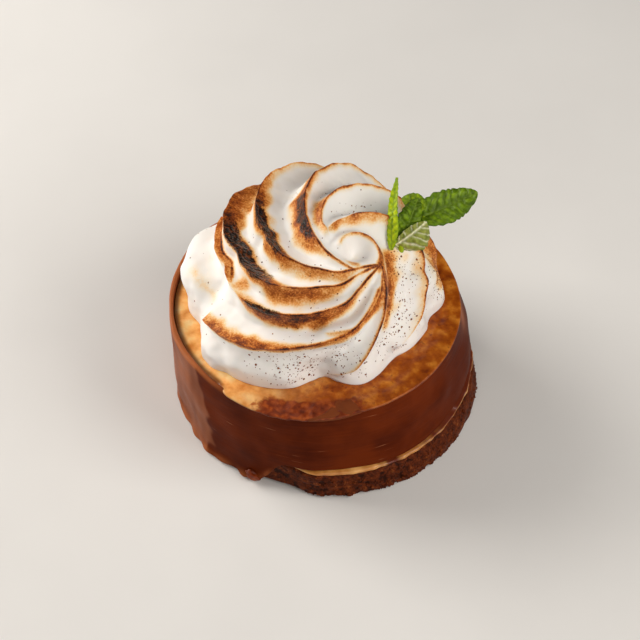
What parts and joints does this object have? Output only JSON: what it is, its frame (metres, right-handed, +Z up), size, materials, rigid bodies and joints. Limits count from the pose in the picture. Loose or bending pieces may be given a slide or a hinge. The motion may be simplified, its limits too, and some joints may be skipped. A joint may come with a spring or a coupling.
{
  "type": "layer cake",
  "caption": "Small round layer cake with a crumb base, caramel layer, chocolate band, caramel top, torched meringue swirl and mint sprig.",
  "frame": {"origin": "The middle of the base's flat underside.", "axes": "+Z is up, -Y is the side towards the viewer, and +X is the viewer's right, the side of the mint sprig."},
  "size_m": [0.0842, 0.0817, 0.0674],
  "materials": {
    "sponge": "moist dark crumb, rough",
    "caramel": "soft tan caramel, satin",
    "caramel_top": "golden caramel glaze, glossy",
    "chocolate": "dark chocolate, satin gloss",
    "meringue": "soft white meringue, torched brown on the crests",
    "mint": "fresh green leaf, satin"
  },
  "bodies": {
    "root": {"base_sponge": "sponge", "caramel_layer": "caramel", "cake_body": "caramel_top", "chocolate_band": "chocolate", "meringue": "meringue", "mint_sprig": "mint"}
  },
  "joints": []
}
